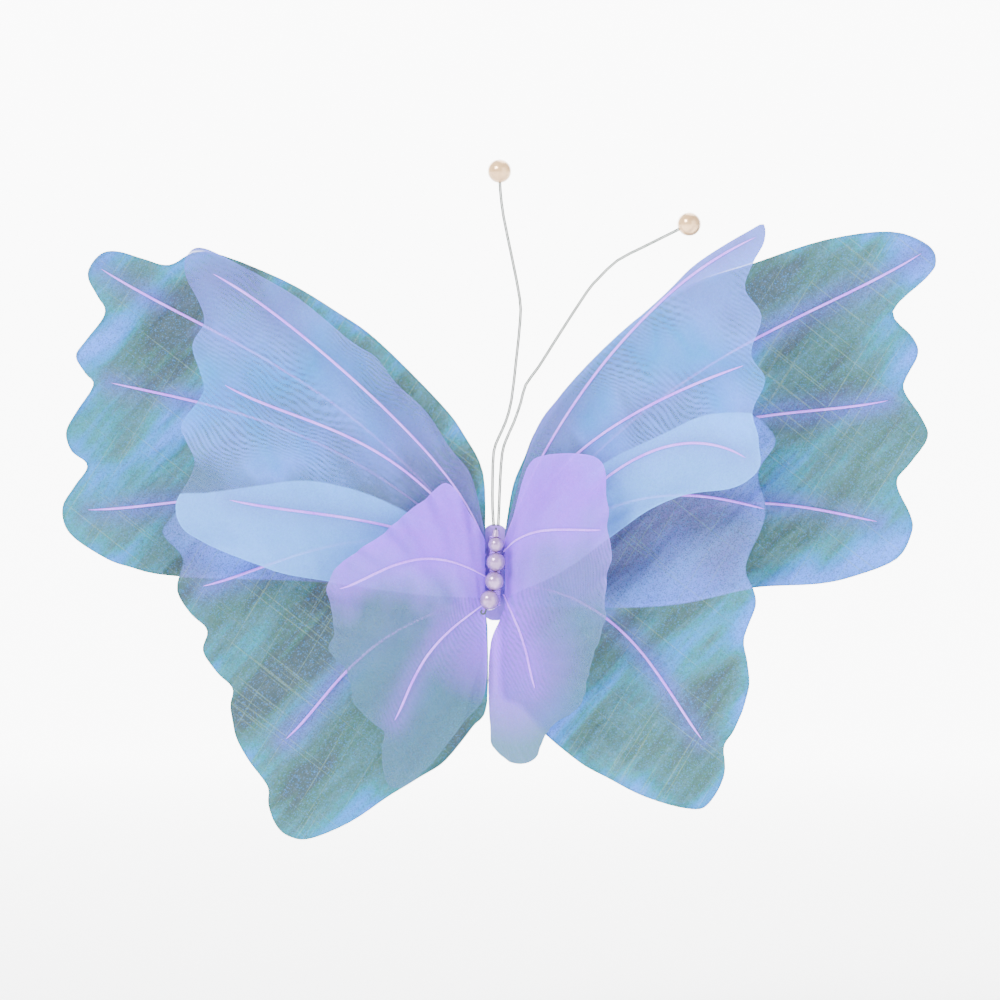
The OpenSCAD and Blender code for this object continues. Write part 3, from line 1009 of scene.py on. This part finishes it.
    def depth(self, x: Array, z: Array) -> Array:
        """How far inside the outline each place lies.

        Args:
            x: The places' x.
            z: The places' z.

        Returns:
            The depths in millimetres, negative outside.
        """
        inward = np.where(self.holds(x, z), 1.0, -1.0)
        return inward * line_distance(x, z, even_line(self.loop, 400)) / MM

    def holds(self, x: Array, z: Array) -> NDArray[np.bool_]:
        """Whether each place lies inside the outline, by counting the edges that a ray crosses.

        Args:
            x: The places' x.
            z: The places' z.

        Returns:
            True for each place inside.
        """
        a, b = self.loop[:-1], self.loop[1:]
        inside = np.zeros(x.shape, bool)
        for (ax, az), (bx, bz) in zip(a, b):
            crosses = (az > z) != (bz > z)
            span = bz - az if abs(bz - az) > 1e-12 else 1e-12
            inside ^= crosses & (x < ax + (z - az) * (bx - ax) / span)
        return inside


@dataclass
class Wing:
    """One wing cloth with its ribs."""

    layer: Layer
    side: Side
    cloth: bpy.types.Material
    casing: bpy.types.Material
    rib_count: int
    seed: int
    wave: float = 2.5 * MM
    ruffle: float = 1.7 * MM
    slim: float = 0.72
    tent: float = 0.35 * MM
    hem: float = 1.1 * MM
    rib_tint: float = 7 * MM
    spacing: float = 2.0 * MM
    spokes: int = 72
    ring: int = 8

    def __post_init__(self) -> None:
        """Reads the wing's outline and its ribs' lines."""
        self.node = f"{self.layer.value}_{self.side.value}"
        # A wider lap on the left would cut through the right front wing.
        laps = {Side.LEFT: 1.0 * MM, Side.RIGHT: 3.4 * MM}
        self.outline = WingOutline(self.node, laps[self.side] if self.layer is Layer.HIND else 0.0)
        self.ribs = [self.rib_line(n) for n in range(1, self.rib_count + 1)]

    def rib_line(self, n: int) -> tuple[str, Array, Array]:
        """A rib's node name, centre line and radii.

        The node's corners stand in rings of eight. Sorted by their distance from the root end,
        each eight in a row are one ring, whose mean is a place on the centre line. The first place
        is moved halfway to the bending line.

        Args:
            n: The rib's number.

        Returns:
            The name, rows of x, y and z, and a radius for each row.
        """
        node = f"{self.node}_rib_{n}"
        points = node_points(node)
        root = points[np.argsort(points[:, 0] * self.outline.sign)[:self.ring]].mean(0)
        far = np.linalg.norm(points - root, axis=1)
        whole = len(points) // self.ring * self.ring
        rings = points[np.argsort(far)][:whole].reshape(-1, self.ring, 3)
        line = rings.mean(1)
        radii = np.linalg.norm(rings - line[:, None], axis=2).mean(1)
        line[0, 0] = (line[0, 0] + self.outline.hinge()[0]) / 2
        return node, line, radii

    def near_ribs(self, x: Array, z: Array) -> Array:
        """The distance in the front view from each place to the nearest rib.

        Args:
            x: The places' x.
            z: The places' z.

        Returns:
            The distances.
        """
        at = np.linspace(0, 1, 40)
        lines = [easy_line(line[:, [0, 2]], at) for _, line, _ in self.ribs]
        return np.min([line_distance(x, z, line) for line in lines], axis=0)

    def lift(self, x: Array, z: Array) -> Array:
        """How far the cloth stands forward of its smooth curve.

        Pleats that fan from the root, slow swells across the cloth, ruffles that grow towards the
        rim, and a low tent over each rib. All of them fade out near the root.

        Args:
            x: The places' x.
            z: The places' z.

        Returns:
            The height of each place.
        """
        rng = np.random.default_rng(self.seed)
        root = self.outline.root
        dx, dz = (x - root[0]) * self.outline.sign, z - root[1]
        far = np.hypot(dx, dz)
        turn = np.arctan2(dz, dx)
        grow = np.clip(far / (90 * MM), 0, 1) ** 1.2
        phase = rng.uniform(0, 2 * np.pi, 8)
        pleats = np.sin(9 * turn + phase[0] + 1.2 * np.sin(3 * turn + phase[1]))
        pleats = pleats + 0.5 * np.sin(21 * turn + phase[2] + 9 * far)
        swells = np.sin(38 * dx + 17 * dz + phase[3]) + np.sin(-21 * dx + 44 * dz + phase[4])
        swells = swells + 0.6 * np.sin(75 * dx - 52 * dz + phase[5])
        reach = self.share(x, z)
        ruffles = reach ** 5 * (np.sin(34 * turn + phase[6]) + 0.6 * np.sin(57 * turn + phase[7]))
        tent = np.exp(-(self.near_ribs(x, z) / (3.2 * MM)) ** 2)
        smooth = self.wave * (0.45 * pleats + 0.35 * swells) + self.ruffle * 0.5 * ruffles
        return grow * (smooth * (1 - 0.5 * tent) + self.tent * tent)

    def share(self, x: Array, z: Array) -> Array:
        """How far out each place lies, from 0 at the pole to 1 on the outline.

        Args:
            x: The places' x.
            z: The places' z.

        Returns:
            The shares.
        """
        rim = even_line(self.outline.loop, 900) - self.outline.pole
        dx, dz = x - self.outline.pole[0], z - self.outline.pole[1]
        rim_bearing, rim_reach = np.arctan2(rim[:, 1], rim[:, 0]), np.hypot(*rim.T)
        limit = np.interp(np.arctan2(dz, dx), rim_bearing, rim_reach, period=2 * np.pi)
        return np.clip(np.hypot(dx, dz) / limit, 0, 1)

    def build_cloth(self, behind: list["Wing"]) -> bpy.types.Object:
        """The cloth: a fan of spokes from the root, each cut into the same number of steps.

        A place is the pole plus a share of the way to a place on the outline.

        Args:
            behind: The wings behind this one, the nearest last, whose overlap is marked on the mesh.

        Returns:
            The cloth object.
        """
        around = self.outline.loop
        girth = np.linalg.norm(np.diff(around, axis=0), axis=1).sum()
        rim = even_line(around, int(girth / self.spacing) + 1)[:-1]
        share = np.linspace(0, 1, self.spokes + 1)[1:] ** 0.85
        flat = self.outline.pole + share[:, None, None] * (rim - self.outline.pole)
        rows, columns = share.size, len(rim)
        places = np.vstack([flat.reshape(-1, 2), self.outline.pole[None]])
        x, z = places[:, 0], places[:, 1]
        lift = self.lift(x, z)
        points = np.stack([x, self.outline.height(x), z], -1) + self.outline.front(x) * lift[:, None]
        n = np.arange(columns)
        hub = np.stack([n, (n + 1) % columns, np.full(columns, rows * columns)], -1)
        obj = make_mesh(f"{self.node}_organza", points, grid_faces(rows, columns, True)[:, ::-1], hub)
        facing = [obj.data.polygons[i].normal.y for i in range(0, len(obj.data.polygons), 97)]
        if np.mean(facing) > 0:
            obj.data.flip_normals()
        far = np.append(np.repeat(share, columns), 0.0)
        ray = np.append(np.tile(np.linalg.norm(rim - self.outline.pole, axis=1), rows), 1.0)
        store(obj, "rim", np.clip(1 - (1 - far) * ray / self.hem, 0, 1))
        store(obj, "tip", np.clip((far - 0.72) / 0.28, 0, 1) ** 2)
        self.mark(obj, x, z)
        depths = [np.full(len(x), -100.0), *(wing.outline.depth(x, z) for wing in behind)]
        store(obj, "near_depth", depths[-1])
        store(obj, "any_depth", np.max(depths, axis=0))
        self.lay_flat(obj, x, z)
        return obj

    def mark(self, obj: bpy.types.Object, x: Array, z: Array) -> None:
        """Stores each place's reach from the root, nearness to a rib, height and bearing on the mesh.

        Args:
            obj: The cloth object.
            x: The places' x.
            z: The places' z.
        """
        root = self.outline.root
        reach = np.hypot(x - root[0], z - root[1])
        store(obj, "reach", np.clip(reach / reach.max(), 0, 1))
        store(obj, "rib", np.exp(-(self.near_ribs(x, z) / self.rib_tint) ** 2))
        store(obj, "high", (z - z.min()) / np.ptp(z))
        sweep = np.arctan2(z - root[1], np.abs(x) - abs(root[0]) + 4 * MM)
        low, top = np.percentile(sweep, [1, 99])
        store(obj, "sweep", np.clip((sweep - low) / (top - low), 0, 1))

    def lay_flat(self, obj: bpy.types.Object, x: Array, z: Array) -> None:
        """Stores each place on the flat cloth, in metres, as the cloth's own coordinates.

        Args:
            obj: The cloth object.
            x: The places' x.
            z: The places' z.
        """
        corners = np.empty(len(obj.data.loops), np.int32)
        obj.data.loops.foreach_get("vertex_index", corners)
        flat = np.stack([self.outline.flat_x(x), z], -1)[corners]
        layer = obj.data.uv_layers.new(name="cloth")
        layer.data.foreach_set("uv", flat.astype(np.float32).ravel())

    def build_rib(self, node: str, line: Array, radii: Array) -> bpy.types.Object:
        """One rib: a low round ridge that follows the folds of its cloth.

        Args:
            node: The rib's node.
            line: Its centre line.
            radii: Its radius at each place of the line.

        Returns:
            The casing object.
        """
        at = np.linspace(0, 1, 90)
        x, z = easy_line(line[:, [0, 2]], at).T
        width = self.slim * np.interp(at, np.linspace(0, 1, len(radii)), radii)
        width = width * np.sqrt(np.clip(1 - at ** 40, 0.02, 1))
        front = self.outline.front(x)
        stand = self.lift(x, z) + 0.2 * MM + 0.35 * width
        centre = np.stack([x, self.outline.height(x), z], -1) + front * stand[:, None]
        obj = tube(f"{node}_casing", centre, width, front, 0.72, 14)
        declare(obj, self.casing, self.node, node)
        return obj

    def build(self, behind: list["Wing"]) -> list[bpy.types.Object]:
        """Args:
            behind: The wings behind this one, the nearest last.

        Returns:
            The pieces, the cloth first.
        """
        ribs = [self.build_rib(*rib) for rib in self.ribs]
        cloth = self.build_cloth(behind)
        declare(cloth, self.cloth, self.node, self.node)
        size = self.outline.flat_size()
        LOG.info("%s flat %.3f by %.3f m, %.4f square m", cloth.name, *size)
        return [cloth, *ribs]


# ------------------------------------------------------------------------- body


@dataclass
class BeadedBody:
    """The row of pearls with its cone, stem wire and binding."""

    pearl: bpy.types.Material
    wire: bpy.types.Material
    casing: bpy.types.Material
    bore: float = 0.54 * MM
    strand: float = 0.42 * MM
    end_gap: float = 2 * MM
    narrow: float = 0.8
    squareness: float = 0.75

    def build_pearl(self, node: str, body: str, material: bpy.types.Material, slot: str, axis: Array,
                    hole: float) -> bpy.types.Object:
        """One drilled pearl: a circle's arc from hole to hole, closed down the hole's wall.

        Args:
            node: The pearl's node.
            body: The body that it rides on.
            material: Its lustre.
            slot: The name of its material slot; not used.
            axis: The direction of its hole.
            hole: The hole's radius.

        Returns:
            The pearl object.
        """
        low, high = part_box(node)
        radius = (high[0] - low[0]) / 2
        lip = math.asin(hole / radius)
        angle = np.linspace(lip, math.pi - lip, 48)
        arc = np.stack([radius * np.sin(angle), -radius * np.cos(angle)], -1)
        end = radius * math.cos(lip)
        wall = np.stack([np.full(6, hole * 0.98), np.linspace(end, -end, 6)], -1)
        obj = lathe(f"{node}_lustre", np.vstack([arc, wall]), box_middle(node), axis)
        declare(obj, material, body, node)
        return obj

    def build_row(self) -> list[bpy.types.Object]:
        """The four body pearls, each drilled along the row.

        Returns:
            The pearls from the neck down.
        """
        nodes = [f"body_pearl_{n}" for n in range(1, 5)]
        axes = unit_rows(np.gradient(np.array([box_middle(node) for node in nodes]), axis=0))
        return [self.build_pearl(node, "body", self.pearl, "pearl_mauve", axis, self.bore)
                for node, axis in zip(nodes, axes)]

    def build_binding(self) -> bpy.types.Object:
        """The binding: wire wound round and round a flat core with round sides.

        The path is a helix whose turns follow an oval with straight sides.

        Returns:
            The winding object.
        """
        low, high = (np.array(v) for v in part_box("root_binding"))
        low[2] += self.end_gap
        high[2] -= self.end_gap
        half = (high - low)[:2] / 2 - self.strand
        half[0] *= self.narrow
        turns = int((high[2] - low[2] - 2 * self.strand) / (2.1 * self.strand))
        a = np.linspace(0, 2 * np.pi * turns, turns * 36)
        circle = np.stack([np.cos(a), np.sin(a)], -1)
        ring = np.sign(circle) * np.abs(circle) ** self.squareness * half
        z = np.linspace(low[2] + self.strand, high[2] - self.strand, len(a))
        path = np.column_stack([ring + (low + high)[:2] / 2, z + 0.1 * MM * np.sin(a * 0.37)])
        up = np.tile([0.0, 0.0, 1.0], (len(a), 1))
        obj = tube("root_binding_winding", path, np.full(len(a), self.strand), up, 1.0, 8)
        declare(obj, self.casing, "body", "root_binding")
        return obj

    def build(self) -> list[bpy.types.Object]:
        """Builds the body and dresses the nodes that keep their shape.

        Returns:
            The pearls and the binding.
        """
        pieces = [*self.build_row(), self.build_binding()]
        dress(frame["nodes"]["stem_wire"], self.wire)
        dress(frame["nodes"]["neck_cone"], self.pearl)
        return pieces


@dataclass
class Feelers:
    """The two feelers: doubled wires that end in larger pearls."""

    body: BeadedBody
    pearl: bpy.types.Material
    wire: bpy.types.Material
    hole: float = 1.1 * MM

    def build(self) -> list[bpy.types.Object]:
        """Builds the tip pearls and dresses the wires.

        Each hole points at the wire's end, the mean of the wire's highest corners.

        Returns:
            The two pearls.
        """
        made = []
        for side in Side:
            node, wire_node = f"feeler_pearl_{side.value}", f"feeler_wire_{side.value}"
            points = node_points(wire_node)
            axis = box_middle(node) - points[np.argsort(points[:, 2])[-60:]].mean(0)
            made.append(self.body.build_pearl(
                node, f"feeler_{side.value}", self.pearl, "pearl_cream", axis, self.hole))
            dress(frame["nodes"][wire_node], self.wire)
        return made


@dataclass
class PinBack:
    """The felt backing and the pin bar's metal pieces."""

    felt: bpy.types.Material
    steel: bpy.types.Material
    edge: float = 0.6 * MM
    waver: float = 0.12 * MM
    sides: int = 160

    def build(self) -> list[bpy.types.Object]:
        """Builds the felt and dresses the metal nodes.

        Returns:
            The felt.
        """
        for node in ("pin_bar", "pin_rivet", "needle", "lock_collar"):
            dress(frame["nodes"][node], self.steel)
        return [self.build_felt()]

    def build_felt(self) -> bpy.types.Object:
        """The felt: a flat long oval with round edges and a slightly wavy cut.

        Rings of the oval are carried along a rounded profile from the front face to the back.

        Returns:
            The felt object.
        """
        low, high = (np.array(v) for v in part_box("felt_backing"))
        half, middle = (high - low) / 2, (low + high) / 2
        a = np.linspace(0, 2 * np.pi, self.sides, endpoint=False)
        turn = np.linspace(-np.pi / 2, np.pi / 2, 9)
        inset = np.concatenate([
            half[0] * np.array([0.98, 0.5]), self.edge * (1 - np.cos(turn)), half[0] * np.array([0.5, 0.98])])
        depth = half[1] * np.concatenate([[-1, -1], np.sin(turn), [1, 1]])
        cut = self.waver * (1 + np.sin(11 * a) * np.sin(3 * a))
        on_edge = inset[:, None] < half[0] * 0.4
        radius = half[0] - inset[:, None] - cut * on_edge
        x = radius * np.cos(a)
        z = radius * np.sin(a) + (half[2] - half[0]) * np.tanh(6 * np.sin(a))
        y = np.repeat(depth[:, None], self.sides, 1)
        points = np.stack([x, y, z], -1).reshape(-1, 3) + middle
        obj = make_mesh("felt_backing_pad", points, grid_faces(len(depth), self.sides, True))
        face_outwards(obj)
        declare(obj, self.felt, "body", "felt_backing")
        return obj


# ------------------------------------------------------------------------ stage


@dataclass
class Studio:
    """The pale sweep, the soft lights and the camera."""

    across: float = 0.00255
    height: float = 0.03825
    view_width: float = 0.51
    distance: float = 3.0
    floor_gap: float = 0.12
    wall_y: float = 5.4
    bend: float = 1.8
    front_y: float = -6.0
    half_width: float = 7.0
    wall_height: float = 7.0

    def build_sweep(self) -> None:
        """A floor that curves up into a far wall: one profile carried straight across.

        The paper glows more where it is far away, so that it stays pale out of the lights' reach.
        """
        low = CAD_BOX[0][2] - self.floor_gap
        angle = np.linspace(0, np.pi / 2, 32)
        y = np.concatenate([[self.front_y], self.wall_y - self.bend * (1 - np.sin(angle)), [self.wall_y]])
        z = np.concatenate([[low], low + self.bend * (1 - np.cos(angle)), [low + self.wall_height]])
        x = np.repeat([[-self.half_width], [self.half_width]], len(y), 1)
        points = np.stack([x, np.tile(y, (2, 1)), np.tile(z, (2, 1))], -1)
        obj = make_mesh("studio_sweep", points.reshape(-1, 3), grid_faces(2, len(y), False)[:, ::-1])
        dress(obj, StudioPaper("studio_paper", (0.90, 0.90, 0.90), self.wall_y).make())

    def light(self, name: str, place: Triple, size: float, power: float, color: Triple) -> None:
        """A square soft light that faces the wings.

        Args:
            name: The light's name.
            place: Where it stands.
            size: The length of its sides.
            power: Its power in watts.
            color: Its colour.
        """
        data = bpy.data.lights.new(name, "AREA")
        data.shape = "SQUARE"
        data.size = size
        data.energy = power
        data.color = color
        obj = bpy.data.objects.new(name, data)
        bpy.context.scene.collection.objects.link(obj)
        aim = Vector((0.0, 0.0, self.height)) - Vector(place)
        obj.location = place
        obj.rotation_euler = aim.to_track_quat("-Z", "Y").to_euler()

    def build_lights(self) -> None:
        """A large key from the upper left, a fill from the right, a light behind and a pale world."""
        self.light("key_light", (-1.6, -2.2, 1.8), 1.1, 212.0, (1.0, 0.99, 0.98))
        self.light("fill_light", (2.0, -1.8, 0.6), 2.2, 46.0, (0.97, 0.98, 1.0))
        self.light("back_light", (0.3, 0.75, 1.6), 1.2, 40.0, (1.0, 1.0, 1.0))
        world = bpy.data.worlds.new("studio_world")
        world.use_nodes = True
        world.node_tree.nodes["Background"].inputs["Color"].default_value = (0.95, 0.97, 1.0, 1.0)
        world.node_tree.nodes["Background"].inputs["Strength"].default_value = 1.5
        bpy.context.scene.world = world

    def build_camera(self) -> None:
        """A long lens straight in front of the wings."""
        data = bpy.data.cameras.new("studio_camera")
        data.sensor_width = 36.0
        data.lens = data.sensor_width * self.distance / self.view_width
        data.clip_end = 50.0
        obj = bpy.data.objects.new("studio_camera", data)
        bpy.context.scene.collection.objects.link(obj)
        obj.location = (self.across, -self.distance - 0.03, self.height)
        obj.rotation_euler = (math.pi / 2, 0.0, 0.0)
        bpy.context.scene.camera = obj

    def build(self) -> None:
        """Builds the whole stage."""
        self.build_camera()
        self.build_sweep()
        self.build_lights()


def build_wings(casing: bpy.types.Material) -> list[bpy.types.Object]:
    """All eight wings, from the costume to the front, with their ribs in one casing material.

    Args:
        casing: The casing's material.

    Returns:
        The cloths and the ribs.
    """
    cloths = {
        Layer.BACK: TealOrganza("back_organza", cover=0.99, drift=0.0).make(),
        Layer.HIND: TealOrganza("hind_organza", cover=0.86, drift=-0.02).make(),
        Layer.MID: SheerOrganza(
            "mid_organza", Scheme.MID, root=Tone.MID_LAVENDER, overlap=Tone.MID_LOW, lighter=0.75,
            cover=0.58, watered=0.8, turn=62.0).make(),
        Layer.FRONT: SheerOrganza(
            "front_organza", Scheme.FRONT, root=Tone.FRONT_PINK, overlap=Tone.FRONT_PALE, lighter=0.12,
            cover=0.66, watered=0.5, turn=25.0, drift=-0.06).make(),
    }
    ribs = {Layer.BACK: 3, Layer.HIND: 2, Layer.MID: 3, Layer.FRONT: 2}
    made: list[bpy.types.Object] = []
    for number, side in enumerate(Side):
        behind: list[Wing] = []
        for k, layer in enumerate(Layer):
            wing = Wing(layer, side, cloths[layer], casing, ribs[layer], seed=11 + 7 * k + 3 * number)
            made += wing.build(behind)
            behind.append(wing)
    return made


def main() -> None:
    """Builds the stage and every piece in order."""
    logging.basicConfig(level=logging.INFO, format="%(message)s")
    Studio().build()
    casing = CasedWire("cased_wire_lilac").make()
    wire = DrawnMetal("feeler_silver", (0.050, 0.070, 0.057), (0.024, 0.036, 0.030), 0.34, 0.3).make()
    steel = DrawnMetal("pin_nickel", (0.72, 0.72, 0.73), (0.55, 0.55, 0.56), 0.22).make()
    body = BeadedBody(Pearl("mauve_pearl", (0.36, 0.21, 0.46), (0.10, 0.045, 0.16)).make(), wire, casing)
    cream = Pearl("cream_pearl", (0.74, 0.46, 0.22), (0.26, 0.13, 0.045)).make()
    felt = Felt("lilac_felt", (0.24, 0.10, 0.60), (0.34, 0.15, 0.75)).make()
    pieces = build_wings(casing)
    pieces += body.build()
    pieces += Feelers(body, cream, wire).build()
    pieces += PinBack(felt, steel).build()
    for piece in pieces:
        LOG.info("built %s with %d faces", piece.name, len(piece.data.polygons))
    bpy.context.view_layer.update()


if __name__ == "__main__":
    main()
